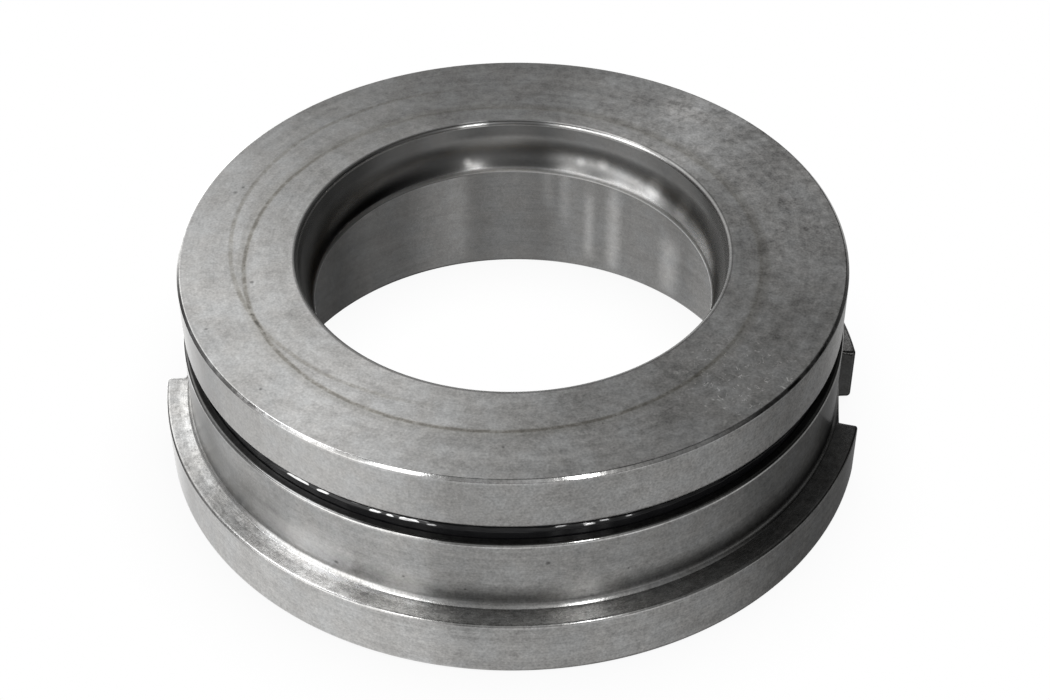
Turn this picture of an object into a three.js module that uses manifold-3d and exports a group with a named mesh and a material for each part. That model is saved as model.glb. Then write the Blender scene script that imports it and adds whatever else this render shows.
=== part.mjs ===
// Flanged thrust ball bearing.
//
// A plain upper ring turns on a circle of balls over a fixed lower ring. The lower ring carries a round
// flange at its foot with two opposed key slots, so it can be held against turning. A thin one-piece
// plate cage spaces the balls, and a rubber ring closes the gap between the two rings on the outside.
//
// Frame: millimetres, +Z along the axis of rotation, origin at the centre of the bottom seating face,
// X through the middle of the two key slots.

import * as THREE from "three";
import { mergeVertices } from "three/addons/utils/BufferGeometryUtils.js";
import Module from "manifold-3d";

const wasm = await Module();
wasm.setup();

// ---- shared dimensions ----
const HEIGHT = 33.5; // bottom seating face to top thrust face
const UPPER_T = 8.75; // upper ring, top face to underside
const GAP = 3.15; // clear height between the two rings
const EDGE = 0.5; // broken outer edges of both rings

const BALL_D = 7.938; // 5/16 inch
const BALL_COUNT = 24;
const BALL_DETAIL = 2; // subdivision level
const PITCH_R = 43.1; // ball centres
const BALL_CLEAR = 0.1; // below and above each ball

const SEAL_GROOVE_IN_R = 47.95; // groove in the lower ring's top face that holds the rubber ring
const SEAL_GROOVE_OUT_R = 48.95;
const SEAL_GROOVE_D = 0.9;

const AROUND = 64; // facets round every ring

// ---- levels ----
const UPPER_BOTTOM_Z = HEIGHT - UPPER_T;
const LOWER_TOP_Z = UPPER_BOTTOM_Z - GAP;
const BALL_Z = (UPPER_BOTTOM_Z + LOWER_TOP_Z) / 2;

// ---- materials ----
const metal = (color, roughness) =>
  new THREE.MeshStandardMaterial({ color, roughness, metalness: 1.0 });
const upperSteel = metal(0x8f8e8c, 0.42);
const lowerSteel = metal(0x878684, 0.38);
const ballSteel = metal(0xc9cbcd, 0.08);
const cageBrass = metal(0xb08d4a, 0.35);
const sealRubber = new THREE.MeshStandardMaterial({
  color: 0x0c0c0d,
  roughness: 0.25,
  metalness: 0.0,
});

// ---- shape helpers ----

// [radius, height] points of an arc, between two angles in degrees, both ends included.
function arc({ centre, radius, from, to, steps }) {
  const points = [];
  for (let i = 0; i <= steps; i++) {
    const angle = THREE.MathUtils.degToRad(from + ((to - from) * i) / steps);
    points.push([centre[0] + radius * Math.cos(angle), centre[1] + radius * Math.sin(angle)]);
  }
  return points;
}

// A ring turned from a profile of [radius, height] points, listed anticlockwise and closed here.
function turned(profile) {
  const points = profile.map(([r, z]) => new THREE.Vector2(r, z));
  points.push(points[0].clone());
  const geometry = new THREE.LatheGeometry(points, AROUND);
  geometry.rotateX(Math.PI / 2); // the lathe's axis is Y; stand it along Z
  return geometry;
}

// A three.js geometry as a manifold solid; normals and uvs go first, as they would keep seams apart.
function solid(geometry) {
  const bare = geometry.clone();
  bare.deleteAttribute("normal");
  bare.deleteAttribute("uv");
  const merged = mergeVertices(bare, 1e-4);
  return new wasm.Manifold(
    new wasm.Mesh({
      numProp: 3,
      vertProperties: new Float32Array(merged.attributes.position.array),
      triVerts: new Uint32Array(merged.index.array),
    }),
  );
}

// A manifold solid as a three.js geometry.
function geometryOf(manifold) {
  const mesh = manifold.getMesh();
  const geometry = new THREE.BufferGeometry();
  const positions = new Float32Array(mesh.vertProperties);
  geometry.setAttribute("position", new THREE.BufferAttribute(positions, 3));
  geometry.setIndex(new THREE.BufferAttribute(new Uint32Array(mesh.triVerts), 1));
  geometry.computeVertexNormals();
  return geometry;
}

const ballAngle = (i) => (2 * Math.PI * i) / BALL_COUNT;

// ---- raceways: the same groove in both rings ----
const GROOVE_R = 4.35; // section radius, a little more than half a ball
const GROOVE_D = BALL_D / 2 - GAP / 2 + BALL_CLEAR;
const GROOVE_RISE = GROOVE_R - GROOVE_D; // ring face to the centre of the section, out in the gap
const GROOVE_HALF = THREE.MathUtils.radToDeg(Math.acos(GROOVE_RISE / GROOVE_R)); // half its arc

// The section's arc; `deepest` is the direction of its deepest point, in degrees.
const raceway = (centreZ, deepest) =>
  arc({
    centre: [PITCH_R, centreZ],
    radius: GROOVE_R,
    from: deepest + GROOVE_HALF,
    to: deepest - GROOVE_HALF,
    steps: 6,
  });

// ---- upper ring ----
const UPPER_R = 50.0;
const MOUTH_R = 32.15; // bore at the top face
const MOUTH_DEPTH = 2.5; // top face to the start of the cove
const MOUTH_EDGE = 0.7;
const COVE_R = 8.1; // hollow curve from the mouth in to the lip
const COVE_END = 0.15; // the cove stops this far outside the lip
const LIP_R = 30.0; // smallest bore, the shaft size
const LIP_TOP = 0.55; // top of the lip's straight face, above the underside
const LIP_EDGE = 0.2;

function upperRing() {
  const under = UPPER_BOTTOM_Z;
  const coveCentreR = MOUTH_R - COVE_R;
  const coveSweep = Math.acos((LIP_R + COVE_END - coveCentreR) / COVE_R);
  return turned([
    [UPPER_R - EDGE, under],
    [UPPER_R, under + EDGE],
    [UPPER_R, HEIGHT - EDGE],
    [UPPER_R - EDGE, HEIGHT],
    [MOUTH_R + MOUTH_EDGE, HEIGHT],
    [MOUTH_R, HEIGHT - MOUTH_EDGE],
    ...arc({
      centre: [coveCentreR, HEIGHT - MOUTH_DEPTH],
      radius: COVE_R,
      from: 0,
      to: -THREE.MathUtils.radToDeg(coveSweep),
      steps: 4,
    }),
    [LIP_R, under + LIP_TOP],
    [LIP_R, under + LIP_EDGE],
    [LIP_R + LIP_EDGE, under],
    ...raceway(under - GROOVE_RISE, 90),
  ]);
}

// ---- lower ring ----
const BARREL_R = 50.3; // outside above the flange
const FLANGE_R = 54.15;
const FLANGE_T = 9.6;
const FLANGE_EDGE = 0.4; // broken top edge
const FLANGE_FILLET = 2.25; // barrel to flange shoulder
const FOOT_EDGE = 0.9; // outer edge under the flange, broken in two facets
const FOOT_CORNER = 0.25; // corner between those facets, in from the side and up from the foot
const LOWER_BORE_R = 38.2;
const BORE_TOP_EDGE = 0.4;
const BORE_FOOT_EDGE = 0.5;

const SLOT_W = 16.4; // key slots across the flange
const SLOT_FLOOR_X = 50.6; // each slot's flat floor, from the axis
const SLOT_CUT_X = 10; // length of the cutting box, past the flange
const SLOT_OVERCUT = 2; // cutting box below the foot and above the fillet

// A box that cuts one key slot; side is 1 for +X, -1 for -X.
function slotCutter(side) {
  const fullHeight = FLANGE_T + FLANGE_FILLET;
  const box = new THREE.BoxGeometry(SLOT_CUT_X, SLOT_W, fullHeight + 2 * SLOT_OVERCUT);
  box.translate(side * (SLOT_FLOOR_X + SLOT_CUT_X / 2), 0, fullHeight / 2);
  return solid(box);
}

function lowerRing() {
  const top = LOWER_TOP_Z;
  const ring = turned([
    [LOWER_BORE_R + BORE_FOOT_EDGE, 0],
    [FLANGE_R - FOOT_EDGE, 0],
    [FLANGE_R - FOOT_CORNER, FOOT_CORNER],
    [FLANGE_R, FOOT_EDGE],
    [FLANGE_R, FLANGE_T - FLANGE_EDGE],
    [FLANGE_R - FLANGE_EDGE, FLANGE_T],
    ...arc({
      centre: [BARREL_R + FLANGE_FILLET, FLANGE_T + FLANGE_FILLET],
      radius: FLANGE_FILLET,
      from: 270,
      to: 180,
      steps: 3,
    }),
    [BARREL_R, top - EDGE],
    [BARREL_R - EDGE, top],
    [SEAL_GROOVE_OUT_R, top],
    [SEAL_GROOVE_OUT_R, top - SEAL_GROOVE_D],
    [SEAL_GROOVE_IN_R, top - SEAL_GROOVE_D],
    [SEAL_GROOVE_IN_R, top],
    ...raceway(top + GROOVE_RISE, 270),
    [LOWER_BORE_R + BORE_TOP_EDGE, top],
    [LOWER_BORE_R, top - BORE_TOP_EDGE],
    [LOWER_BORE_R, BORE_FOOT_EDGE],
  ]);
  return geometryOf(solid(ring).subtract(slotCutter(1)).subtract(slotCutter(-1)));
}

// ---- ball cage: a flat ring with one round pocket for each ball ----
const CAGE_T = 2.0;
const CAGE_IN_R = 38.7;
const CAGE_OUT_R = 47.6;
const POCKET_R = 4.06; // axis of the pocket to its flats
const POCKET_FACETS = 14;
const POCKET_OVERCUT = 1; // cutter past each face of the cage

function ballCage() {
  const bottom = BALL_Z - CAGE_T / 2;
  const top = BALL_Z + CAGE_T / 2;
  let plate = solid(
    turned([
      [CAGE_IN_R, bottom],
      [CAGE_OUT_R, bottom],
      [CAGE_OUT_R, top],
      [CAGE_IN_R, top],
    ]),
  );
  const cornerR = POCKET_R / Math.cos(Math.PI / POCKET_FACETS);
  const cutLength = CAGE_T + 2 * POCKET_OVERCUT;
  for (let i = 0; i < BALL_COUNT; i++) {
    const pocket = new THREE.CylinderGeometry(cornerR, cornerR, cutLength, POCKET_FACETS);
    pocket.rotateX(Math.PI / 2);
    pocket.translate(PITCH_R, 0, BALL_Z);
    pocket.rotateZ(ballAngle(i));
    plate = plate.subtract(solid(pocket));
  }
  return geometryOf(plate);
}

// ---- rubber ring: a foot in the lower ring's groove, a rounded shoulder, a lip up to the upper ring ----
const SEAL_FIT = 0.1; // to the walls and floor of its groove
const SEAL_TOP_CLEAR = 0.2; // lip to the underside of the upper ring
const SEAL_LIP_INSET = 0.4; // top of the lip, in from the outside
// Shoulder points: [in from the outside, above the lower ring's top face].
const SEAL_SHOULDER = [[0, 0.35], [0.15, 0.75], [0.45, 0.95]];

function dustSeal() {
  const foot = LOWER_TOP_Z - SEAL_GROOVE_D + SEAL_FIT;
  const inR = SEAL_GROOVE_IN_R + SEAL_FIT;
  const outR = SEAL_GROOVE_OUT_R - SEAL_FIT;
  const lipZ = UPPER_BOTTOM_Z - SEAL_TOP_CLEAR;
  return turned([
    [inR, foot],
    [outR, foot],
    ...SEAL_SHOULDER.map(([inset, rise]) => [outR - inset, LOWER_TOP_Z + rise]),
    [outR - SEAL_LIP_INSET, lipZ],
    [inR, lipZ],
  ]);
}

// ---- assembly ----
const bearing = new THREE.Group();

function add(name, geometry, material) {
  const mesh = new THREE.Mesh(geometry, material);
  mesh.name = name;
  bearing.add(mesh);
  return mesh;
}

add("upper_race_ring", upperRing(), upperSteel);
add("lower_flanged_ring", lowerRing(), lowerSteel);
add("ball_cage", ballCage(), cageBrass);
add("outer_dust_seal", dustSeal(), sealRubber);

const ballShape = new THREE.IcosahedronGeometry(BALL_D / 2, BALL_DETAIL);
for (let i = 0; i < BALL_COUNT; i++) {
  const angle = ballAngle(i);
  const ball = add("ball_" + String(i + 1).padStart(2, "0"), ballShape, ballSteel);
  ball.position.set(PITCH_R * Math.cos(angle), PITCH_R * Math.sin(angle), BALL_Z);
  ball.rotation.z = angle;
}

export default bearing;
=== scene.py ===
# Flanged thrust ball bearing, lying flat with its axis on Z and its underside at z = 0.
# From the bottom: a flanged lower ring with a key slot at +X and one at -X, a rubber ring in a
# groove of its upper face, a brass cage of balls, and the upper ring with a hollowed bore.
# Outlines are in millimetres and become metres as each mesh is made.
import math
import operator
from functools import reduce

import bmesh
import bpy
from mathutils import Matrix, Vector


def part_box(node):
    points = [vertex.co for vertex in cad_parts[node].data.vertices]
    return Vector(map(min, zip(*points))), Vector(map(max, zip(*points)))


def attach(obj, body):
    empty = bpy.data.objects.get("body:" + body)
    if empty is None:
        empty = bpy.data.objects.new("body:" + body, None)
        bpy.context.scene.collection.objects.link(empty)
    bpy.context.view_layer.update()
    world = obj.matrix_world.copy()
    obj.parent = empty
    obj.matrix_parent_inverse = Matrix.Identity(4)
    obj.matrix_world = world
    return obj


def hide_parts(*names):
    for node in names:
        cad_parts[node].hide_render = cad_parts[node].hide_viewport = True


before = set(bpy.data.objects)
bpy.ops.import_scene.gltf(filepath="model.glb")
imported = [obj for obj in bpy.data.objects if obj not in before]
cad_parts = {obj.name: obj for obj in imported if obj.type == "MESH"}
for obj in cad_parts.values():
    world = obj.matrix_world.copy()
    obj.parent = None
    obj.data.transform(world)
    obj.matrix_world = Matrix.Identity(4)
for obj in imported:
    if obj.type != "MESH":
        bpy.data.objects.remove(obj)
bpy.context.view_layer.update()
scene = bpy.context.scene

# ------------------------------------------------------------------ sizes, millimetres
MM = 0.001


def box_mm(node):
    return [[round(c * 1000.0, 4) for c in corner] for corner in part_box(node)]


upper_low, upper_high = box_mm("upper_race_ring")
lower_low, lower_high = box_mm("lower_flanged_ring")
cage_low, cage_high = box_mm("ball_cage")

TOP = upper_high[2]
UNDER = upper_low[2]  # underside of the upper ring
LTOP = lower_high[2]  # upper face of the lower ring
UPPER_R = upper_high[1]
FLANGE_R = lower_high[1]

BALLS = sorted(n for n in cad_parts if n.startswith("ball_") and n != "ball_cage")
BALL_STEP = 2 * math.pi / len(BALLS)
BALL_Z = (UNDER + LTOP) / 2
BALL_R = 7.938 / 2
PITCH_R = 43.1

# Raceways
GROOVE_R = 4.13
GROOVE_BOTTOM = BALL_R + 0.03  # from the plane of the ball centres
GROOVE_DEPTH = GROOVE_BOTTOM - (UNDER - BALL_Z)
GROOVE_HALF = math.degrees(math.acos((GROOVE_R - GROOVE_DEPTH) / GROOVE_R))

# Upper ring's bore: a straight mouth, then a hollow (the cove) down to the lip
MOUTH_R = 32.15
MOUTH_DEPTH = 2.5
COVE_R = 8.1
COVE_CENTRE_R = MOUTH_R - COVE_R
LIP_R = 30.0

# Lower ring
FLANGE_T = 9.6
FLANGE_FILLET = 1.55  # hollow from the barrel down to the flange, meeting it at an angle
FILLET_END = 54  # degrees of that hollow
BARREL_R = 50.3
LOWER_BORE_R = 38.2
SLOT_HALF = 16.4 / 2
SLOT_FLOOR_X = 50.6
SLOT_EASE = 0.70  # rounding of the slots' edges
EASE_REACH = 0.6  # radial distance over which that rounding grows to its full depth
SEAL_IN_R, SEAL_OUT_R, SEAL_GROOVE_D = 47.95, 48.95, 0.9

CAGE_R = cage_high[1]
CAGE_WIDTH = 8.9
POCKET_R = 4.07
POCKET_FLARE = 1.30

# The camera stands this many degrees round from -Y. Angles in materials and lights are
# counted anticlockwise from the camera's right, so 90 is the back and 270 the front.
VIEW_TURN = 6.68


def at_angle(degrees, radius=1.0):
    angle = math.radians(degrees + VIEW_TURN)
    return radius * math.cos(angle), radius * math.sin(angle)


# ------------------------------------------------------------------ mesh helpers
def rounded(corners, hold=0.07):
    """A closed (r, z) outline with each corner (r, z, radius, steps) rounded, and points
    added along every long straight run, so that smooth shading stays flat on flat faces."""
    outline = []
    for i, corner in enumerate(corners):
        tip = Vector(corner[:2])
        radius, steps = corner[2:] or (0.0, 0)
        if radius <= 0:
            outline.append(tip)
            continue
        before = Vector(corners[i - 1][:2]) - tip
        after = Vector(corners[(i + 1) % len(corners)][:2]) - tip
        to_before, to_after = before.normalized(), after.normalized()
        angle = math.acos(max(-1.0, min(1.0, to_before.dot(to_after))))
        if angle > math.pi - 1e-3:
            outline.append(tip)
            continue
        reach = min(radius / math.tan(angle / 2), 0.49 * before.length, 0.49 * after.length)
        radius = reach * math.tan(angle / 2)
        middle = (to_before + to_after).normalized()
        centre = tip + middle * (radius / math.sin(angle / 2))
        start = tip + to_before * reach - centre
        end = tip + to_after * reach - centre
        turn = math.atan2(start.x * end.y - start.y * end.x, start.dot(end))
        for k in range(steps + 1):
            c, s = math.cos(turn * k / steps), math.sin(turn * k / steps)
            outline.append(centre + Vector((start.x * c - start.y * s, start.x * s + start.y * c)))

    full = []
    for i, point in enumerate(outline):
        following = outline[(i + 1) % len(outline)]
        full.append(point)
        run = following - point
        if run.length > 0.55:
            along = run.normalized()
            full.append(point + along * hold)
            parts = int(run.length // 3.0)
            for j in range(1, parts):
                full.append(point + along * (hold + (run.length - 2 * hold) * j / parts))
            full.append(following - along * hold)
    return [(v.x, v.y) for v in full]


def arc(centre_r, centre_z, radius, start, end, steps):
    points = []
    for i in range(steps + 1):
        angle = math.radians(start + (end - start) * i / steps)
        points.append((centre_r + radius * math.cos(angle), centre_z + radius * math.sin(angle)))
    return points


def raceway(centre_z, middle):
    """Ball groove whose bottom lies at middle degrees from its centre, with eased edges."""
    race = arc(PITCH_R, centre_z, GROOVE_R, middle + GROOVE_HALF, middle - GROOVE_HALF, 22)
    return [(*race[0], 0.14, 3)] + race[1:-1] + [(*race[-1], 0.14, 3)]


def add_object(name, mesh):
    obj = bpy.data.objects.new(name, mesh)
    scene.collection.objects.link(obj)
    return obj


def loop_faces(columns, rows):
    """Quads of a grid of vertices that closes on itself both ways."""
    faces = []
    for i in range(columns):
        k = (i + 1) % columns
        for j in range(rows):
            l = (j + 1) % rows
            faces.append((i * rows + j, k * rows + j, k * rows + l, i * rows + l))
    return faces


def revolve(name, outline, around=512, move=None):
    """A closed ring turned about Z. move(r, z, angle) may shift each point of the outline."""
    verts = []
    for i in range(around):
        angle = 2 * math.pi * i / around
        for r, z in outline:
            if move:
                r, z = move(r, z, angle)
            verts.append((r * math.cos(angle) * MM, r * math.sin(angle) * MM, z * MM))
    mesh = bpy.data.meshes.new(name)
    mesh.from_pydata(verts, [], loop_faces(around, len(outline)))
    mesh.validate()
    return add_object(name, mesh)


def smooth(obj, sharp_degrees=None):
    mesh = obj.data
    mesh.shade_smooth()
    if sharp_degrees is None:
        return
    bm = bmesh.new()
    bm.from_mesh(mesh)
    for edge in bm.edges:
        if len(edge.link_faces) == 2 and edge.calc_face_angle(0.0) > math.radians(sharp_degrees):
            edge.smooth = False
    bm.to_mesh(mesh)
    bm.free()


# ------------------------------------------------------------------ upper ring
def upper_outline():
    cove_end = -math.degrees(math.acos((LIP_R + 0.22 - COVE_CENTRE_R) / COVE_R))
    corners = [
        (UPPER_R, UNDER, 0.5, 6),
        (UPPER_R, TOP - 0.42, 0.22, 4),
        (UPPER_R - 0.44, TOP, 0.22, 4),
        (MOUTH_R, TOP, 0.62, 8),
    ]
    corners += arc(COVE_CENTRE_R, TOP - MOUTH_DEPTH, COVE_R, 0, cove_end, 16)
    corners += [(LIP_R, UNDER, 0.7, 8)]
    corners += raceway(UNDER - (GROOVE_R - GROOVE_DEPTH), 90)
    return rounded(corners)


upper = revolve("upper_race_ring_body", upper_outline())
smooth(upper)


# ------------------------------------------------------------------ lower ring
def lower_outline():
    foot = FLANGE_FILLET * (1 - math.cos(math.radians(FILLET_END)))
    rise = FLANGE_FILLET * math.sin(math.radians(FILLET_END))
    fillet_r, fillet_z = BARREL_R + FLANGE_FILLET, FLANGE_T + rise
    corners = [
        (LOWER_BORE_R, 0.0, 0.5, 5),
        (FLANGE_R, 0.0, 0.75, 6),
        (FLANGE_R, FLANGE_T, 0.46, 6),
        (BARREL_R + foot, FLANGE_T),
    ]
    corners += arc(fillet_r, fillet_z, FLANGE_FILLET, 180 + FILLET_END, 180, 12)[1:]
    corners += [
        (BARREL_R, LTOP, 0.5, 6),
        (SEAL_OUT_R, LTOP, 0.1, 2),
        (SEAL_OUT_R, LTOP - SEAL_GROOVE_D),
        (SEAL_IN_R, LTOP - SEAL_GROOVE_D),
        (SEAL_IN_R, LTOP, 0.1, 2),
    ]
    corners += raceway(LTOP + (GROOVE_R - GROOVE_DEPTH), 270)
    corners += [(LOWER_BORE_R, LTOP, 0.4, 5)]
    return rounded(corners)


def outline_normals(outline):
    normals = []
    for j in range(len(outline)):
        (r0, z0), (r1, z1) = outline[j - 1], outline[(j + 1) % len(outline)]
        length = math.hypot(r1 - r0, z1 - z0) or 1.0
        normals.append(((z1 - z0) / length, -(r1 - r0) / length))
    return normals


def cut_column(outline, limit, angle):
    """The outline held inside a radius, with its crossings of that radius placed exactly."""
    column = []
    for j, (r, z) in enumerate(outline):
        if r > limit:
            for near_r, near_z in (outline[j - 1], outline[(j + 1) % len(outline)]):
                if near_r <= limit:
                    z = near_z + (z - near_z) * (limit - near_r) / (r - near_r)
                    break
            r = limit
        column.append((r, z, angle))
    return column


def wall_column(outline, normals, slot_corner, tilt):
    """The outline along a slot's wall, sunk along its normals to round the slot's edge."""
    y = SLOT_HALF + SLOT_EASE * (1 - math.sin(tilt))
    depth = SLOT_EASE * (1 - math.cos(tilt))
    column = []
    for (r, z), (normal_r, normal_z) in zip(outline, normals):
        if r > slot_corner:
            part = min(1.0, (r - slot_corner) / EASE_REACH)
            sink = depth * part * part * (3 - 2 * part)
            r, z = max(r - normal_r * sink, slot_corner), z - normal_z * sink
            column.append((r, z, math.asin(y / r)))
        else:
            column.append((r, z, math.asin(y / slot_corner)))
    return column


def slotted_ring(name, outline, floor_steps=12, wall_steps=6, plain_steps=236):
    """A ring with a slot at +X and at -X, each a flat floor at x = +-SLOT_FLOOR_X between
    walls at y = +-SLOT_HALF. Its columns of vertices follow the slots' edges."""
    slot_corner = math.hypot(SLOT_HALF, SLOT_FLOOR_X)
    half_angle = math.atan2(SLOT_HALF, SLOT_FLOOR_X)
    normals = outline_normals(outline)

    floor_columns = []
    for k in range(floor_steps + 1):
        angle = half_angle * k / floor_steps
        floor_columns.append(cut_column(outline, SLOT_FLOOR_X / math.cos(angle), angle))
    walls = []
    for k in range(wall_steps + 1):
        tilt = math.pi / 2 * (1 - k / wall_steps)
        walls.append(wall_column(outline, normals, slot_corner, tilt))
    first = math.asin((SLOT_HALF + SLOT_EASE) / slot_corner) + math.radians(0.6)
    plain = []
    for k in range(plain_steps + 1):
        angle = first + (math.pi - 2 * first) * k / plain_steps
        plain.append([(r, z, angle) for r, z in outline])

    columns = []
    for turn in (0.0, math.pi):
        for column in floor_columns + walls + plain:
            columns.append([(r, z, turn + a) for r, z, a in column])
        for column in walls[::-1] + floor_columns[:0:-1]:
            columns.append([(r, z, turn + math.pi - a) for r, z, a in column])
    verts = [
        (r * math.cos(a) * MM, r * math.sin(a) * MM, z * MM)
        for column in columns
        for r, z, a in column
    ]
    mesh = bpy.data.meshes.new(name)
    mesh.from_pydata(verts, [], loop_faces(len(columns), len(outline)))
    bm = bmesh.new()
    bm.from_mesh(mesh)
    bmesh.ops.remove_doubles(bm, verts=bm.verts, dist=1.5e-6)
    bmesh.ops.dissolve_degenerate(bm, dist=1e-6, edges=bm.edges)
    bmesh.ops.recalc_face_normals(bm, faces=bm.faces)
    bm.to_mesh(mesh)
    bm.free()
    return add_object(name, mesh)


lower = slotted_ring("lower_flanged_ring_body", lower_outline())
smooth(lower, sharp_degrees=32)
keep_flat = lower.modifiers.new("flat faces", "WEIGHTED_NORMAL")
keep_flat.keep_sharp = True
keep_flat.weight = 60

# ------------------------------------------------------------------ rubber ring
# (waves round the ring, height in mm, phase)
RADIAL_WAVES = (
    (11, 0.04, 0.4), (23, 0.04, 2.1), (47, 0.035, 4.0), (74, 0.03, 1.3), (109, 0.012, 5.2),
)
UPRIGHT_WAVES = ((9, 0.03, 3.4), (29, 0.03, 0.7), (53, 0.03, 2.9), (83, 0.02, 5.9))


def wave(angle, terms):
    return sum(size * math.sin(count * angle + phase) for count, size, phase in terms)


def seal_outline():
    inside, outside = SEAL_IN_R + 0.06, SEAL_OUT_R - 0.06
    foot = LTOP - SEAL_GROOVE_D + 0.06
    corners = [
        (inside, foot, 0.1, 3),
        (outside, foot, 0.1, 3),
        (outside, LTOP + 1.38, 0.2, 4),
        (outside + 0.40, LTOP + 1.74, 0.10, 4),
        (outside + 0.10, LTOP + 2.06, 0.08, 4),
        (outside - 0.25, LTOP + 2.2, 0.12, 3),
        (outside - 0.02, LTOP + 2.55, 0.15, 4),
        (outside - 0.02, UNDER - 0.34, 0.15, 3),
        (outside - 0.5, UNDER - 0.08, 0.15, 3),
        (inside, UNDER - 0.12, 0.2, 4),
    ]
    return rounded(corners, hold=0.05)


def seal_move(r, z, angle):
    """Makes the outer side above the groove wavy."""
    lift = z - (LTOP + 0.6)
    if lift <= 0 or r < SEAL_IN_R + 0.3:
        return r, z
    amount = min(1.0, lift / 0.5)
    below_top = max(0.0, min(1.0, (UNDER - 0.1 - z) / 0.5))
    upright = 0.9 * amount * below_top * wave(angle, UPRIGHT_WAVES)
    return r + amount * wave(angle, RADIAL_WAVES), z + upright


seal = revolve("outer_dust_seal_lips", seal_outline(), around=900, move=seal_move)
smooth(seal)


# ------------------------------------------------------------------ cage
def cage_outline():
    inner_r, low, high = CAGE_R - CAGE_WIDTH, cage_low[2], cage_high[2]
    square = ((inner_r, low), (CAGE_R, low), (CAGE_R, high), (inner_r, high))
    return rounded([(r, z, 0.3, 4) for r, z in square])


def pocket_cutter(facets=48):
    """One mesh of closed cutters, each a ball pocket that widens towards both faces."""
    bm = bmesh.new()
    flared = POCKET_R + POCKET_FLARE
    for i in range(len(BALLS)):
        place = Matrix.Rotation(i * BALL_STEP, 4, "Z")
        place = place @ Matrix.Translation((PITCH_R * MM, 0, BALL_Z * MM))
        rings = []
        for z, radius in ((-2.0, flared), (-0.7, POCKET_R), (0.7, POCKET_R), (2.0, flared)):
            ring = []
            for k in range(facets):
                angle = 2 * math.pi * (k + 0.37) / facets
                x, y = radius * MM * math.cos(angle), radius * MM * math.sin(angle)
                ring.append(bm.verts.new(place @ Vector((x, y, z * MM))))
            rings.append(ring)
        for low, high in zip(rings, rings[1:]):
            for k in range(facets):
                l = (k + 1) % facets
                bm.faces.new((low[k], low[l], high[l], high[k]))
        bm.faces.new(list(reversed(rings[0])))
        bm.faces.new(rings[-1])
    bm.normal_update()
    mesh = bpy.data.meshes.new("pockets")
    bm.to_mesh(mesh)
    bm.free()
    return add_object("pockets", mesh)


def subtract(obj, cutter):
    """Cuts cutter out of obj for good, and removes the cutter."""
    cut = obj.modifiers.new("cut", "BOOLEAN")
    cut.operation = "DIFFERENCE"
    cut.solver = "EXACT"
    cut.object = cutter
    bpy.context.view_layer.update()
    depsgraph = bpy.context.evaluated_depsgraph_get()
    result = bpy.data.meshes.new_from_object(obj.evaluated_get(depsgraph))
    obj.modifiers.clear()
    whole = obj.data
    obj.data = result
    result.name = obj.name
    bpy.data.meshes.remove(whole)
    cutter_mesh = cutter.data
    bpy.data.objects.remove(cutter)
    bpy.data.meshes.remove(cutter_mesh)


cage = revolve("ball_cage_plate", cage_outline(), around=240)
subtract(cage, pocket_cutter())
smooth(cage, sharp_degrees=30)


# ------------------------------------------------------------------ balls
def make_ball_mesh():
    mesh = bpy.data.meshes.new("bearing_ball")
    bm = bmesh.new()
    bmesh.ops.create_icosphere(bm, subdivisions=5, radius=BALL_R * MM)
    bm.to_mesh(mesh)
    bm.free()
    mesh.shade_smooth()
    return mesh


ball_mesh = make_ball_mesh()
balls = {}
for i, node in enumerate(BALLS):
    ball = add_object(node + "_sphere", ball_mesh)
    low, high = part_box(node)
    middle = (low + high) / 2
    angle = round(math.atan2(middle.y, middle.x) / BALL_STEP) * BALL_STEP
    ball.location = (
        PITCH_R * MM * math.cos(angle),
        PITCH_R * MM * math.sin(angle),
        BALL_Z * MM,
    )
    ball.rotation_euler = (0.7 * i, 0.4 * i, angle)
    balls[node] = ball


# ------------------------------------------------------------------ shader nodes
def put(socket, value):
    """Links a Value to a socket, or sets the socket's own number, vector or colour."""
    if isinstance(value, Value):
        value.tree.links.new(value.socket, socket)
    elif isinstance(value, tuple):
        socket.default_value = [*value, 1.0][: len(socket.default_value)]
    else:
        socket.default_value = value


def add_node(tree, kind, inputs=None, **properties):
    node = tree.nodes.new(kind)
    for name, value in properties.items():
        setattr(node, name, value)
    for key, value in (inputs or {}).items():
        put(node.inputs[key], value)
    return node


def make_value(tree, kind, inputs=None, output=0, **properties):
    return Value(tree, add_node(tree, kind, inputs, **properties).outputs[output])


def combine(x, y, z):
    return make_value(x.tree, "ShaderNodeCombineXYZ", {0: x, 1: y, 2: z})


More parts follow.
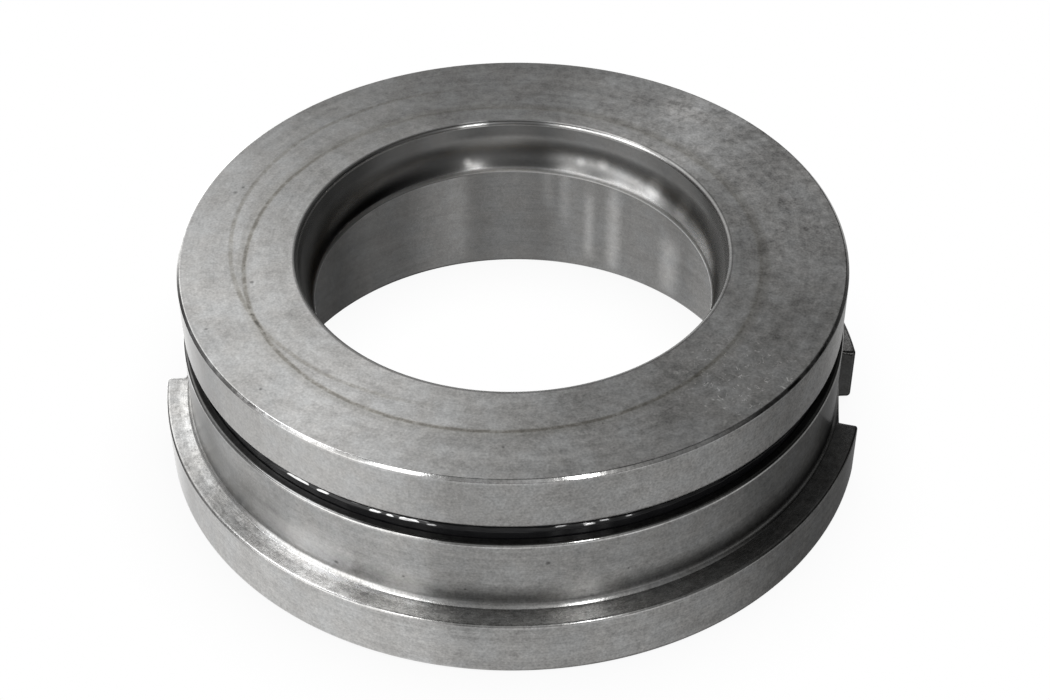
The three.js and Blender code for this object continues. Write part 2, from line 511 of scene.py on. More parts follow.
class Value:
    """An output socket that can be reckoned with. Each step adds one node, or a few."""

    def __init__(self, tree, socket):
        self.tree = tree
        self.socket = socket

    def math(self, operation, *operands):
        inputs = dict(enumerate(operands))
        return make_value(self.tree, "ShaderNodeMath", inputs, operation=operation)

    def __add__(self, other):
        return self.math("ADD", self, other)

    def __radd__(self, other):
        return self.math("ADD", other, self)

    def __sub__(self, other):
        return self.math("SUBTRACT", self, other)

    def __rsub__(self, other):
        return self.math("SUBTRACT", other, self)

    def __mul__(self, other):
        return self.math("MULTIPLY", self, other)

    def __truediv__(self, other):
        return self.math("DIVIDE", self, other)

    def __abs__(self):
        return self.math("ABSOLUTE", self)

    def at_least(self, other):
        return self.math("MAXIMUM", self, other)

    def at_most(self, other):
        return self.math("MINIMUM", self, other)

    def swing(self, amount):
        """A 0 to 1 texture turned into a change about zero, amount wide."""
        return (self - 0.5) * amount

    def ramp(self, start, end, to=(0.0, 1.0), kind="SMOOTHSTEP"):
        """Goes from to[0] at start to to[1] at end, and stays level beyond them."""
        inputs = dict(enumerate((self, start, end, *to)))
        return make_value(
            self.tree, "ShaderNodeMapRange", inputs, interpolation_type=kind, clamp=True
        )

    def fade(self, start, end, kind="SMOOTHSTEP"):
        return self.ramp(start, end, to=(1.0, 0.0), kind=kind)

    def blend(self, low, high):
        """The number low where this mask is 0 and high where it is 1."""
        return make_value(self.tree, "ShaderNodeMix", {0: self, 2: low, 3: high}, data_type="FLOAT")

    def tint(self, low, high):
        """The colour low where this mask is 0 and high where it is 1."""
        inputs = {0: self, 6: low, 7: high}
        return make_value(self.tree, "ShaderNodeMix", inputs, output=2, data_type="RGBA")

    def vector(self, operation, inputs=None, output=0):
        inputs = {0: self, **(inputs or {})}
        kind = "ShaderNodeVectorMath"
        return make_value(self.tree, kind, inputs, output, operation=operation)

    def scaled(self, factor):
        return self.vector("SCALE", {3: factor})

    def distance(self, point):
        return self.vector("DISTANCE", {1: point}, output=1)

    def split(self):
        node = add_node(self.tree, "ShaderNodeSeparateXYZ", {0: self})
        return [Value(self.tree, socket) for socket in node.outputs]

    def noise(self, scale, detail=2.0, rough=0.5, distortion=0.0):
        inputs = {
            "Vector": self,
            "Scale": scale,
            "Detail": detail,
            "Roughness": rough,
            "Distortion": distortion,
        }
        return make_value(self.tree, "ShaderNodeTexNoise", inputs)

    def cells(self, scale):
        """Distance to the nearest of many scattered points."""
        inputs = {"Vector": self, "Scale": scale}
        return make_value(self.tree, "ShaderNodeTexVoronoi", inputs, output="Distance")

    def bump(self, strength, distance):
        inputs = {"Height": self, "Strength": strength, "Distance": distance}
        return make_value(self.tree, "ShaderNodeBump", inputs)


def across(x, y):
    return (x * x + y * y).math("SQRT", x * x + y * y) if False else root(x * x + y * y)


def root(value):
    return value.math("SQRT", value)


def new_material(name):
    material = bpy.data.materials.new(name)
    material.use_nodes = True
    material.node_tree.nodes.clear()
    return material


def principled(material, inputs):
    tree = material.node_tree
    shader = make_value(tree, "ShaderNodeBsdfPrincipled", inputs)
    add_node(tree, "ShaderNodeOutputMaterial", {0: shader})


def turned_metal(material, colour, rough, anisotropy, normal):
    """Metal whose highlights are drawn out by marks that run round the Z axis."""
    tangent = make_value(
        material.node_tree, "ShaderNodeTangent", direction_type="RADIAL", axis="Z"
    )
    inputs = {
        "Base Color": colour,
        "Metallic": 1.0,
        "Roughness": rough,
        "Anisotropic": anisotropy,
        "Anisotropic Rotation": 0.25,
        "Tangent": tangent,
        "Normal": normal,
    }
    principled(material, inputs)


def position_mm(material):
    kind = "ShaderNodeTexCoord"
    return make_value(material.node_tree, kind, output="Object").scaled(1000.0)


class Ring:
    """A turned piece's material, with the shaded point's place in mm, its radius, and the
    cosine and sine of its angle."""

    def __init__(self, name):
        self.material = new_material(name)
        self.place = position_mm(self.material)
        self.x, self.y, self.z = self.place.split()
        self.radius = across(self.x, self.y)
        safe = self.radius.at_least(0.001)
        self.cos, self.sin = self.x / safe, self.y / safe

    def facing(self, degrees):
        """1 on the side at degrees, falling as a cosine to -1 opposite."""
        side_x, side_y = at_angle(degrees)
        return self.cos * side_x + self.sin * side_y

    def reach(self, degrees):
        """Millimetres from the axis towards the side at degrees."""
        side_x, side_y = at_angle(degrees)
        return self.x * side_x + self.y * side_y

    def side(self, degrees, full, fade, factor):
        """factor within full degrees of the side at degrees, easing to 1 at fade degrees."""
        start, end = math.cos(math.radians(fade)), math.cos(math.radians(full))
        return self.facing(degrees).ramp(start, end, to=(1.0, factor))

    def sides(self, *rows):
        """The product of several sides, each (degrees, full, fade, factor)."""
        return reduce(operator.mul, [self.side(*row) for row in rows])

    def spot(self, point, size, soft):
        """1 at a point, from size * soft falling to 0 at size."""
        return self.place.distance(point).fade(size * soft, size)

    def circle(self, centre, radius, width, wobble):
        """A thin line round centre, seen along Z."""
        offset = across(self.x - centre[0], self.y - centre[1]) - radius + wobble
        return abs(offset).fade(width * 0.25, width)


# ------------------------------------------------------------------ ring steel
MEAN_R = 46.0  # radius at which lengths along an arc are true


class RingSteel(Ring):
    """Brushed steel, with the textures that both rings share."""

    def __init__(self, name):
        super().__init__(name)
        place = self.place
        self.blotch = place.noise(scale=0.22, detail=3.0, rough=0.55)
        self.mottle = place.noise(scale=0.75, detail=3.0, rough=0.6, distortion=0.4)
        self.grain = place.noise(scale=2.8, rough=0.6)
        self.lines = self.arcwise(0.16, 4.2).noise(scale=1.0, detail=3.0, rough=0.6)
        self.streak = self.arcwise(0.05, 0.75).noise(scale=1.0)
        self.nick = self.arcwise(0.55, 0.9).noise(scale=1.0, rough=0.65)
        # painted shade: a darker side at the left
        self.left_shade = self.facing(199).ramp(0.955, 0.997, to=(1.0, 0.66))
        # sparse dark specks, kept to patches
        patches = place.noise(scale=0.21, detail=1.0).ramp(0.54, 0.64)
        self.specks = place.cells(scale=0.42).fade(0.03, 0.085) * patches * 0.30

    def arcwise(self, along, over):
        """Coordinates that run along the turning direction, per mm of arc, and across it."""
        length = MEAN_R * along
        return combine(
            self.cos * length,
            self.sin * length,
            (self.radius + self.z * 1.37) * over,
        )

    def finish(self, tone, dark, painted_light, rough, bump_scale, worn=None):
        """tone varies the brightness about 1, dark takes from it, and the painted light and shade
        multiplies it.
        worn, if given, is a mask of warmer colour."""
        shade = ((1.0 + tone) * (1.0 - dark.at_most(0.9))).at_least(0.03) * painted_light
        warm, cool = (0.548, 0.541, 0.528), (0.532, 0.534, 0.530)
        base = self.blotch.ramp(0.35, 0.7).tint(warm, cool)
        if worn is not None:
            base = worn.tint(base, (0.55, 0.53, 0.485))
        fine_grain = self.place.noise(scale=6.5, detail=1.0)
        height = fine_grain * 0.5 + (self.grain * 1.0 + (self.lines * 0.7 + dark * -1.5))
        turned_metal(
            self.material,
            colour=base.scaled(shade),
            rough=rough,
            anisotropy=0.72,
            normal=(height * bump_scale).bump(strength=0.22, distance=0.00004),
        )
        return self.material


# (degrees round, depth under the top face, size, strength) of painted highlights: soft bright
# patches in the bore
COVE_PAINTED_HIGHLIGHTS = (
    (103.5, 6.5, 1.1, 1.1), (69.0, 6.0, 1.2, 0.55), (62.0, 5.4, 1.5, 0.60),
    (43.5, 5.6, 2.4, 0.90), (31.0, 5.7, 2.6, 0.90),
)

# (degrees round, radius, size) of dark spots on the top face
TOP_SPOTS = (
    (162, 45.0, 0.55), (160, 44.4, 0.4), (192, 39.1, 0.45),
    (203, 47.6, 0.4), (222, 47.0, 0.35), (268, 43.5, 0.3),
)


def upper_tone(steel, top, bore):
    place, blotch, mottle, grain = steel.place, steel.blotch, steel.mottle, steel.grain
    # the top face is strongest marked towards the right and quieter at the back, where it also has
    # a painted shade
    cloud = place.noise(scale=0.11, rough=0.55, distortion=0.8)
    to_back = steel.reach(84)
    to_worn = steel.reach(340).ramp(-10.0, 30.0)
    fine = to_worn.blend(0.74, 0.92) * to_back.ramp(8.0, 38.0, to=(1.0, 0.62))
    coarse = to_worn.blend(0.42, 0.74)
    clouds = (blotch.swing(1.0) + cloud.swing(0.8)) * coarse
    tone_top = (clouds + mottle.swing(to_worn.blend(0.66, 0.98))) + (
        grain.swing(fine) + (steel.lines.swing(0.22) + steel.streak.swing(0.36))
    )
    # painted shade, darkening the back of the top face
    tone_top = tone_top + to_back.ramp(14.0, 44.0, to=(0.0, -0.26))
    # painted highlight: a brighter patch at the back right of the top face
    soft_patch = steel.spot((*at_angle(51, 45.2), TOP), size=6.5, soft=0.05)
    tone_top = tone_top + soft_patch * mottle.ramp(0.3, 0.6, to=(0.5, 1.0)) * 0.42

    # the wall's grain is strongest at the front right
    tone_wall = mottle.swing(0.36) + (grain.swing(0.62) + steel.lines.swing(0.20))
    tone_wall = tone_wall + blotch.swing(0.22)
    tone_wall = tone_wall * steel.facing(320).ramp(0.0, 0.9, to=(1.0, 1.75))
    tone = top.blend(tone_wall, tone_top) * bore.blend(1.0, 0.6)

    # painted highlights in the cove
    patches = []
    for degrees, depth, size, strength in COVE_PAINTED_HIGHLIGHTS:
        radius = COVE_CENTRE_R + math.sqrt(COVE_R**2 - (depth - MOUTH_DEPTH) ** 2)
        point = (*at_angle(degrees, radius), TOP - depth)
        patches.append(steel.spot(point, size, soft=0.15) * strength)
    tone = tone + bore * reduce(operator.add, patches)

    # short pale scuffs on the front right of the top face
    zone = top * place.distance((*at_angle(316, 44.0), TOP)).fade(5.0, 12.0)
    thread = abs(place.noise(scale=0.55, distortion=1.4) - 0.5)
    broken = place.noise(scale=0.9, detail=1.0).ramp(0.53, 0.60)
    return tone + zone * (thread.fade(0.008, 0.024) * broken) * 0.9


def upper_painted_light(steel, top, bore, mouth, lip):
    """Painted light and shade: the brightness of each part of the upper ring, by the side it faces.
    """
    z, radius, facing = steel.z, steel.radius, steel.facing
    # painted light and shade on the outer wall and top face
    wall_side = steel.sides((262, 14, 37, 0.82), (337, 8, 18, 1.3), (197, 4, 9, 0.9))
    wall_side = z.ramp(TOP - 0.62, TOP - 0.95).blend(1.0, wall_side)
    top_side = steel.sides((2, 18, 42, 0.80), (92, 10, 24, 0.82), (215, 6, 16, 0.93))
    top_side = top_side * radius.ramp(39.0, 36.0).blend(1.0, steel.side(10, 12, 26, 0.76))
    painted_light = top.blend(steel.left_shade * wall_side * 1.19, top_side)
    # painted light on the bore, brightest at the back right
    painted_bore_light = facing(48).ramp(-0.35, 0.9, to=(0.22, 0.56))
    painted_light = bore.blend(painted_light, painted_bore_light)
    # painted light on its straight part
    straight = bore * (z.ramp(TOP - 3.2, TOP - 2.2) * facing(60).ramp(0.60, 0.80))
    painted_light = straight.blend(painted_light, painted_bore_light * facing(54).ramp(0.88, 0.97, to=(0.60, 0.77)))
    # painted light on the cove, deeper down
    hollow = bore * z.ramp(TOP - 5.9, TOP - 7.1)
    cove_side = facing(26).ramp(0.90, 0.98, to=(0.54, 1.5)) * steel.side(148, 12, 40, 0.55)
    painted_light = hollow.blend(painted_light, painted_bore_light * cove_side)
    # painted highlight on the cove's foot
    shelf = radius.ramp(31.9, 30.9) * z.ramp(UNDER + 3.4, UNDER + 2.2)
    shelf = shelf * facing(36).ramp(0.88, 0.97)
    painted_light = painted_light * shelf.blend(1.0, 1.55)
    # painted highlight on the lip
    painted_light = lip.blend(painted_light, painted_bore_light * facing(58).ramp(0.55, 0.85, to=(1.5, 2.0)))
    # painted highlights on the mouth's edge at 65 and 101 degrees, with painted shade towards the
    # right
    mouth_side = facing(2).ramp(0.82, 0.94, to=(0.66, 0.42)) * steel.side(65, 11, 18, 1.9)
    return mouth.blend(painted_light, mouth_side * steel.side(101, 2, 5, 2.2))


def witness_marks(steel, top):
    """Worn circles on the top face, each a little off centre, broken and fading."""
    wobble = steel.place.noise(scale=0.16).swing(0.9)
    broken = steel.place.noise(scale=0.8, rough=0.7).ramp(0.34, 0.60, to=(0.35, 1.0))
    near = steel.reach(232).ramp(-14.0, 16.0, to=(0.25, 1.0))
    front, back = at_angle(235, 2.6), at_angle(140, 4.64)
    front_mark = steel.circle(front, 38.35, 0.46, wobble * 0.30) * broken * near
    halo = steel.circle(front, 38.75, 1.25, wobble) * near.blend(1.0, 0.6)
    back_mark = steel.circle(back, 38.8, 0.5, wobble * 0.3) * broken
    back_mark = back_mark * steel.reach(178).ramp(4.0, 24.0)
    return top * (front_mark * 0.40 + (halo * 0.15 + back_mark * 0.26))


def upper_steel():
    steel = RingSteel("upper_ring_ground_steel")
    place, z, radius = steel.place, steel.z, steel.radius
    # masks of the ring's parts
    top = z.ramp(TOP - 0.16, TOP - 0.03) * radius.ramp(32.6, 32.9)
    edge = z.ramp(TOP - 0.62, TOP - 0.48) * radius.ramp(UPPER_R - 0.62, UPPER_R - 0.46)
    bore = radius.ramp(33.0, 32.75)
    mouth = bore * z.ramp(TOP - 0.75, TOP - 0.6)
    lip = radius.ramp(30.5, 30.15) * z.ramp(UNDER + 2.0, UNDER + 1.1)

    rough = top.blend(0.33, 0.37) + steel.mottle.swing(top.blend(0.05, 0.14))
    rough = edge.blend(rough, steel.nick.ramp(0.40, 0.66, to=(0.13, 0.24)))
    for part, value in ((bore, 0.23), (lip, 0.30), (mouth, 0.26)):
        rough = part.blend(rough, value)

    marks = witness_marks(steel, top)
    dark = steel.specks + marks
    for degrees, spot_radius, size in TOP_SPOTS:
        point = (*at_angle(degrees, spot_radius), TOP)
        dark = dark + steel.spot(point, size, soft=0.2) * 0.5
    # dark freckles at the front of the top face
    zone = top * place.distance((*at_angle(292, 42.5), TOP)).fade(4.0, 13.0)
    groups = place.noise(scale=0.7, detail=1.0).ramp(0.50, 0.58)
    dark = dark + zone * (place.cells(scale=1.1).fade(0.10, 0.26) * groups) * 0.28

    return steel.finish(
        tone=upper_tone(steel, top, bore),
        dark=dark,
        painted_light=upper_painted_light(steel, top, bore, mouth, lip),
        rough=rough,
        bump_scale=top.blend(0.45, 0.8) * bore.blend(1.0, 0.04),
        worn=(marks * 2.6).at_most(1.0),
    )


# (degrees round, half width in degrees, lowest z, highest z, strength) of painted
# reflections: bright upright streaks in the lower bore
BORE_PAINTED_STREAKS = (
    (104, 2.6, 1.0, 24.0, 0.22), (81, 1.3, 11.0, 24.0, 0.28), (76.5, 1.2, 8.0, 24.0, 0.34),
    (70, 1.2, 1.0, 18.0, 0.55), (63.4, 1.7, 0.0, 20.0, 0.72), (46.5, 2.6, 0.0, 14.0, 0.85),
)

# (degrees round, height, size) of dark spots on the barrel
BARREL_SPOTS = (
    (240, 11.6, 0.5), (275, 18.0, 0.5), (252, 13.2, 0.3), (262, 12.6, 0.3), (288, 14.4, 0.25),
)


def lower_tone(steel, face, fillet, bore, streaks):
    mottle, grain, z = steel.mottle, steel.grain, steel.z
    tone = mottle.swing(0.52) + (grain.swing(0.74) + steel.lines.swing(0.38))
    tone = tone + (steel.blotch.swing(0.26) + steel.streak.swing(0.34))
    tone = tone * steel.facing(320).ramp(0.0, 0.9, to=(1.0, 1.3))
    face_tone = streaks.swing(0.85) + (mottle.swing(1.30) + grain.swing(0.95))
    tone = face.at_least(fillet * 0.12).blend(tone, face_tone)
    tone = tone * bore.blend(1.0, 0.75)

    # painted reflections: bright upright streaks in the lower bore
    painted_streaks = []
    for degrees, half, low, high, strength in BORE_PAINTED_STREAKS:
        band_x, band_y = at_angle(degrees)
        offset = abs(steel.sin * band_x - steel.cos * band_y)
        near = offset.fade(0.0, math.radians(half * 1.9)) * steel.facing(degrees).ramp(0.0, 0.1)
        length = z.ramp(low - 1.0, low + 4.0) * z.fade(high - 5.0, high + 1.0)
        painted_streaks.append(near * length * strength)
    return tone + bore * (reduce(operator.add, painted_streaks) * (0.7 + mottle * 0.6))


def lower_painted_light(steel, face, fillet, barrel_edge, flange_edge, bore):
    """Painted light and shade: the brightness of each part of the lower ring, by the side it faces.
    """
    x, y, z, radius = steel.x, steel.y, steel.z, steel.radius
    facing, side = steel.facing, steel.side
    # painted shade on the right side, away from the lamps
    turned_away = facing(350).ramp(0.93, 0.985, to=(1.0, 0.36))
    far_right = side(335, 16, 38, 0.72)

    # painted shade on the left and the right, and a painted highlight on the fillet at the barrel's
    # foot
    painted_light = steel.left_shade * turned_away * 0.92
    painted_light = fillet.blend(painted_light, facing(206).ramp(0.90, 0.98) * 0.45)
    painted_light = fillet.blend(painted_light, painted_light + facing(236).ramp(0.966, 0.990, to=(1.0, 1.35)))

    # painted light and shade on the barrel, and a painted highlight on its top edge
    shaft = z.ramp(FLANGE_T + 0.75, FLANGE_T + 1.3) * radius.ramp(49.0, 49.5)
    flank = z.ramp(FLANGE_T + 10.0, FLANGE_T + 4.5) * facing(219).ramp(0.970, 0.992)
    shaft_side = far_right * side(198, 5, 14, 0.66) * side(237, 7, 14, 0.84)
    shaft_side = shaft_side * flank.blend(1.0, 0.70)
    painted_light = painted_light * shaft.blend(1.0, shaft_side)
    painted_light = barrel_edge.blend(painted_light, 1.2)

    # painted light and shade on the flange's upper face, brightest along its inner ridge
    inner = radius.ramp(52.6, 51.7) * facing(206).ramp(0.88, 0.97)
    ridge_side = facing(242)
    ridge_side = ridge_side.ramp(0.955, 0.985) * ridge_side.fade(1.1, 1.13)
    ridge = radius.ramp(52.4, 51.3) * ridge_side
    face_side = steel.sides((246, 5, 12, 1.3), (219, 4, 9, 0.82))
    face_side = face_side * steel.sides((14, 8, 15, 1.9), (192, 6, 12, 1.2))
    painted_light = face.blend(painted_light, face_side * ridge.blend(inner.blend(0.86, 1.25), 1.65))

    # shade low on the barrel
    hollow = z.ramp(FLANGE_T + 0.42, FLANGE_T + 0.80) * z.fade(FLANGE_T + 0.8, FLANGE_T + 4.8)
    hollow = hollow * radius.ramp(49.0, 49.5)
    painted_light = painted_light * hollow.blend(1.0, 0.52)
    below = z.ramp(FLANGE_T + 2.6, FLANGE_T + 0.8) * radius.ramp(49.0, 49.5)
    away = facing(345).ramp(0.60, 0.97, to=(1.0, 0.54), kind="LINEAR")
    painted_light = painted_light * below.blend(1.0, away)

    # painted light and shade on the flange's outer wall and upper edge
    foot_wall = radius.ramp(FLANGE_R - 0.2, FLANGE_R - 0.04)
    foot_side = far_right * side(242, 6, 14, 0.84) * side(270, 5, 12, 0.86)
    left = facing(200).ramp(0.982, 0.998, to=(1.0, 0.74))
    painted_light = foot_wall.blend(painted_light, foot_side * (left * turned_away * 1.26))
    painted_light = painted_light * (flange_edge * facing(330).ramp(0.7, 0.95)).blend(1.0, 0.75)

    # painted shade in the key slots, darkest on one wall of the +X slot
    slot = radius.ramp(50.75, 50.95) * radius.ramp(FLANGE_R - 0.02, FLANGE_R - 0.3)
    slot = slot * abs(y).ramp(SLOT_HALF + 0.03, SLOT_HALF + 0.01)
    shaded_wall = x.ramp(10.0, 20.0) * y.ramp(SLOT_HALF - 0.5, SLOT_HALF - 0.1)
    painted_light = slot.blend(painted_light, shaded_wall.blend(0.50, 0.13))

    # painted shade on the lower bore, by the side it faces
    bore_side = steel.sides((56, 9, 20, 0.76), (91, 6, 13, 0.80))
    return bore.blend(painted_light, bore_side * (side(128, 6, 20, 0.74) * 0.63))


def lower_steel():
    steel = RingSteel("lower_ring_turned_steel")
    z, radius, nick = steel.z, steel.radius, steel.nick
    # masks of the ring's parts
    fillet = z.ramp(FLANGE_T + 0.75, FLANGE_T + 0.45) * z.ramp(FLANGE_T + 0.002, FLANGE_T + 0.01)
    fillet = fillet * radius.ramp(BARREL_R + 0.05, BARREL_R + 0.15)
    face = z.ramp(FLANGE_T - 0.10, FLANGE_T - 0.02) * radius.ramp(BARREL_R + 0.62, BARREL_R + 0.66)
    face = face * z.ramp(FLANGE_T + 0.02, FLANGE_T + 0.005)
    land = z.ramp(LTOP - 0.30, LTOP - 0.06) * radius.ramp(BARREL_R - 0.04, BARREL_R - 0.2)
    barrel_edge = z.ramp(LTOP - 0.62, LTOP - 0.46) * radius.ramp(BARREL_R - 0.5, BARREL_R - 0.3)
    flange_edge = z.ramp(FLANGE_T - 0.55, FLANGE_T - 0.42)
    flange_edge = flange_edge * radius.ramp(FLANGE_R - 0.5, FLANGE_R - 0.38)
    flange_edge = flange_edge * z.ramp(FLANGE_T - 0.01, FLANGE_T - 0.05)
    bore = radius.ramp(39.2, 38.8)
    streaks = steel.arcwise(0.62, 2.7).noise(scale=1.0, detail=3.0, rough=0.7)

    rough = 0.31 + steel.mottle.swing(0.08)
    rough = fillet.blend(rough, z.ramp(FLANGE_T + 0.25, FLANGE_T + 0.9).blend(0.22, 0.31))
    rough = face.blend(rough, 0.27 + streaks.swing(0.25))
    rough = barrel_edge.blend(rough, nick.ramp(0.42, 0.66, to=(0.10, 0.17)))
    rough = flange_edge.blend(rough, nick.ramp(0.40, 0.62, to=(0.16, 0.27)))
    rough = bore.blend(rough, 0.24)

    # painted shade on the land under the upper ring, in the gap between the rings
    dark = steel.specks + land * 0.80
    for degrees, height, size in BARREL_SPOTS:
        point = (*at_angle(degrees, BARREL_R), height)
        dark = dark + steel.spot(point, size, soft=0.2) * 0.6

    return steel.finish(
        tone=lower_tone(steel, face, fillet, bore, streaks),
        dark=dark,
        painted_light=lower_painted_light(steel, face, fillet, barrel_edge, flange_edge, bore),
        rough=rough,
        bump_scale=face.blend(0.45, 1.3) * bore.blend(1.0, 0.2),
    )


# ------------------------------------------------------------------ other materials
def ball_steel():
    """Polished steel, duller and darker where it is smeared."""
    material = new_material("ball_steel_polished")
    place = position_mm(material)
    soft_patch = place.noise(scale=0.5, detail=3.0, rough=0.6, distortion=0.6)
    hair = place.vector("MULTIPLY", {1: (1.0, 1.0, 9.0)}).noise(scale=1.6, rough=0.6)
    inputs = {
        "Base Color": soft_patch.ramp(0.3, 0.8).tint((0.74, 0.745, 0.75), (0.66, 0.66, 0.655)),
        "Metallic": 1.0,
        "Roughness": 0.06 + soft_patch.ramp(0.45, 0.75) * 0.10,
        "Normal": hair.bump(strength=0.05, distance=0.00001),
    }
    principled(material, inputs)
    return material


def cage_brass():
    """Brass with turning lines and patches of tarnish."""
    ring = Ring("cage_brass_machined")
    around = combine(ring.cos * 3.0, ring.sin * 3.0, ring.radius * 5.0 + ring.z * 6.0)
    lines = around.noise(scale=1.0, detail=3.0, rough=0.6)
    tarnish = ring.place.noise(scale=0.22, detail=4.0, rough=0.6)
    turned_metal(
        ring.material,
        colour=tarnish.ramp(0.4, 0.75).tint((0.72, 0.50, 0.20), (0.42, 0.28, 0.12)),
        rough=0.24 + (lines * 0.12 + tarnish.ramp(0.4, 0.75) * 0.18),
        anisotropy=0.5,
        normal=(lines + tarnish * 0.4).bump(strength=0.15, distance=0.00004),
    )
    return ring.material


# (start, end, strength) in degrees round of painted glints on the rubber lip: bright, metal-like
# dashes
LIP_PAINTED_GLINTS = (
    (230.0, 234.8, 1.0), (236.2, 238.8, 0.9), (246.0, 248.4, 0.9),
    (248.9, 250.6, 0.8), (251.2, 254.8, 1.0), (255.6, 257.8, 0.55),
    (280.5, 283.0, 0.55), (31.0, 33.5, 0.6), (121.0, 124.0, 0.6),
)
GLINT_MARGIN = 0.4  # degrees added at each end
GLINT_SOFT = 0.024  # radians over which each end fades


def seal_rubber():
    material = new_material("seal_rubber_oiled_with_painted_glints")
    place = position_mm(material)
    x, y, z = place.split()
    radius = across(x, y)
    film = place.noise(scale=0.6, detail=3.0, rough=0.6)
    grain = place.noise(scale=6.0, rough=0.6)

    turn = y.math("ARCTAN2", y, x)
    glints = []
    for start, end, strength in LIP_PAINTED_GLINTS:
        low, high = (
            math.remainder(math.radians(degrees + VIEW_TURN), math.tau)
            for degrees in (start - GLINT_MARGIN, end + GLINT_MARGIN)
        )
        glint = turn.ramp(low, low + GLINT_SOFT) * turn.fade(high - GLINT_SOFT, high)
        glints.append(glint * strength)
    from_crest = abs(z - ((LTOP + 1.84) + film.swing(0.3)))
    crest = radius.ramp(SEAL_OUT_R, SEAL_OUT_R + 0.1) * from_crest.fade(0.0, 0.22, kind="LINEAR")
    # painted glints: the lip's crest turns bright and metal-like within the listed dashes
    painted_glint = (reduce(operator.add, glints) * crest).ramp(0.18, 0.42)

    rubber = film.tint((0.006, 0.006, 0.007), (0.014, 0.014, 0.015))
    inputs = {
        "Base Color": painted_glint.tint(rubber, (0.80, 0.80, 0.80)),
        "Metallic": painted_glint * 0.9,
        "Roughness": painted_glint.blend(0.09 + film.ramp(0.5, 0.75) * 0.12, 0.24),
        "Specular IOR Level": z.ramp(LTOP + 2.05, LTOP + 2.3, to=(0.5, 0.2)),
        "Coat Weight": 0.12,
        "Coat Roughness": 0.06,
        "Coat IOR": 1.5,
        "Normal": grain.bump(strength=0.04, distance=0.00003),
    }
    principled(material, inputs)
    return material


upper.data.materials.append(upper_steel())
lower.data.materials.append(lower_steel())
seal.data.materials.append(seal_rubber())
cage.data.materials.clear()  # the cut may leave an empty slot
cage.data.materials.append(cage_brass())
ball_mesh.materials.append(ball_steel())

for obj, body, node, slot in (
    (upper, "rotating_ring", "upper_race_ring", "upper_ring_steel"),
    (lower, "fixed_ring", "lower_flanged_ring", "lower_ring_steel"),
    (seal, "fixed_ring", "outer_dust_seal", "seal_rubber"),
    (cage, "cage", "ball_cage", "cage_brass"),
    *((ball, node, node, "ball_steel") for node, ball in balls.items()),
):
    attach(obj, body)
    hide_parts(node)

# ------------------------------------------------------------------ camera
ELEVATION = 0.7048048  # radians above the horizon
ROLL = -0.0102176  # radians
DISTANCE = 6.2919381  # upper ring radii from the target
TARGET_DROP = 0.3  # upper ring radii under the top face


def add_camera():
    data = bpy.data.cameras.new("camera")
    camera = add_object("camera", data)
    data.sensor_fit = "HORIZONTAL"
    data.sensor_width = 36.0
    data.lens = 69.88406057
    data.shift_x = 0.01107914286
    data.shift_y = -0.0271267619
    data.clip_start, data.clip_end = 0.01, 20.0

    ring_r = UPPER_R * MM
    back = Vector((0, -math.cos(ELEVATION), math.sin(ELEVATION)))
    right = Vector((1, 0, 0))
    up = back.cross(right)
    rolled_right = right * math.cos(ROLL) + up * math.sin(ROLL)
    rolled_up = -right * math.sin(ROLL) + up * math.cos(ROLL)
    view_turn = Matrix.Rotation(math.radians(VIEW_TURN), 3, "Z")
    axes = Matrix([view_turn @ axis for axis in (rolled_right, rolled_up, back)])
    target = Vector((0, 0, TOP * MM)) + Vector((0, 0, -TARGET_DROP * ring_r))
    place = view_turn @ (back * DISTANCE * ring_r) + target
    camera.matrix_world = Matrix.Translation(place) @ axes.transposed().to_4x4()
    scene.camera = camera


add_camera()


# ------------------------------------------------------------------ floor
def floor_material():
    """White that gives its own light, with a painted contact shadow that makes it a little darker
    close to the bearing.
    """
    material = new_material("pale_floor")
    tree = material.node_tree
    kind = "ShaderNodeAmbientOcclusion"
    openness = make_value(tree, kind, {"Distance": 0.014}, output="AO", samples=12)
    shade = openness.math("POWER", openness, 0.6)
    shade = shade.ramp(0.0, 1.0, to=(0.87, 1.0), kind="LINEAR")
    light = make_value(tree, "ShaderNodeEmission", {0: combine(shade, shade, shade), 1: 1.0})
    add_node(tree, "ShaderNodeOutputMaterial", {0: light})
    return material


floor_mesh = bpy.data.meshes.new("floor")
floor_mesh.from_pydata([(-6, -6, 0), (6, -6, 0), (6, 6, 0), (-6, 6, 0)], [], [(0, 1, 2, 3)])
floor = add_object("floor", floor_mesh)
floor.location.z = -0.00002
floor_mesh.materials.append(floor_material())
floor.visible_glossy = False
floor.visible_diffuse = False
floor.visible_shadow = False

# ------------------------------------------------------------------ surroundings
# (degrees round, degrees above the horizon, half width in degrees, strength) of soft glows
LOBES = (
    (120, -55, 45, 0.375), (180, -55, 45, 0.516), (240, -55, 45, 0.217), (300, -55, 45, 0.101),
    (0, -20, 38, 0.191), (36, -20, 38, 0.087), (72, -20, 38, 0.454), (108, -20, 38, 1.789),
    (180, -20, 38, 0.074), (216, -20, 38, 0.379), (252, -20, 38, 0.288), (288, -20, 38, 0.360),
    (324, -20, 38, 0.323),
    (108, 14, 38, 0.544), (144, 14, 38, 0.113), (180, 14, 38, 0.103), (216, 14, 38, 1.472),
    (288, 14, 38, 0.078),
    (45, 46, 38, 0.095), (135, 46, 38, 1.413), (270, 46, 38, 0.328), (315, 46, 38, 0.185),
)


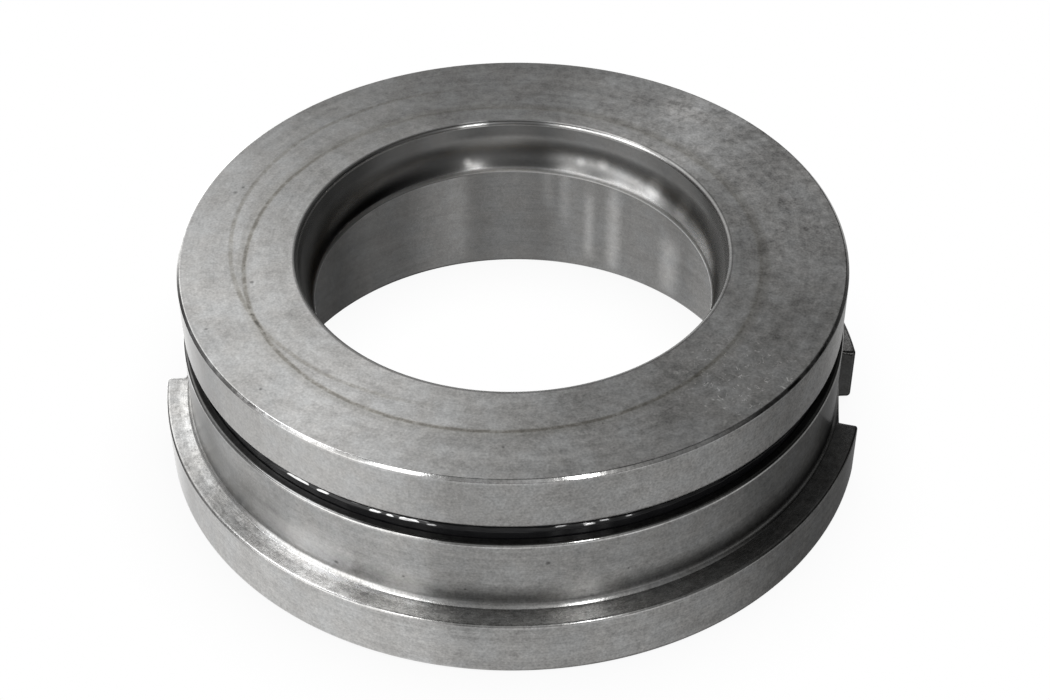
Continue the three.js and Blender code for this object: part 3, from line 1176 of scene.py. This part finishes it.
def direction(degrees, elevation):
    rise = math.radians(elevation)
    return (*at_angle(degrees, math.cos(rise)), math.sin(rise))


def add_world():
    """Soft glows that light the bearing; the camera itself sees plain white."""
    world = bpy.data.worlds.new("studio")
    scene.world = world
    world.use_nodes = True
    tree = world.node_tree
    tree.nodes.clear()
    ray = make_value(tree, "ShaderNodeTexCoord", output="Generated").vector("NORMALIZE")
    glow = 0.0
    for degrees, elevation, half_width, strength in LOBES:
        towards = ray.vector("DOT_PRODUCT", {1: direction(degrees, elevation)}, output=1)
        glow = glow + towards.ramp(math.cos(math.radians(half_width)), 1.0) * strength
    seen = make_value(tree, "ShaderNodeLightPath", output="Is Camera Ray")
    white = (1.0, 1.0, 1.0)
    inputs = {0: seen.tint(white, white), 1: seen.blend(glow, 1.0)}
    background = make_value(tree, "ShaderNodeBackground", inputs)
    add_node(tree, "ShaderNodeOutputWorld", {0: background})


add_world()

# ------------------------------------------------------------------ lamps
LAMP_AIM = Vector((0, 0, 0.02))
WHITE = (1, 1, 1)

# (name, degrees round, degrees up, distance, width, height, power, colour)
LAMPS = (
    ("key_left", 192, 45, 0.30, 0.13, 0.11, 0.215, (0.97, 0.975, 1.0)),
    ("side_left_a", 228, 42, 0.55, 0.06, 0.20, 0.09, WHITE),
    ("side_left_b", 236, 42, 0.55, 0.06, 0.20, 0.135, WHITE),
    ("front_strip", 292, 40, 0.60, 0.05, 0.16, 0.276, WHITE),
)

for name, degrees, elevation, distance, width, height, power, colour in LAMPS:
    data = bpy.data.lights.new(name, "AREA")
    data.shape = "RECTANGLE"
    data.size, data.size_y = width, height
    data.energy = power
    data.color = colour
    lamp = add_object(name, data)
    lamp.location = LAMP_AIM + Vector(direction(degrees, elevation)) * distance
    lamp.rotation_mode = "QUATERNION"
    lamp.rotation_quaternion = (lamp.location - LAMP_AIM).to_track_quat("Z", "Y")
    lamp.visible_camera = False

scene.view_settings.view_transform = "Standard"
scene.view_settings.look = "None"
scene.view_settings.exposure = 0.0
scene.view_settings.gamma = 1.0
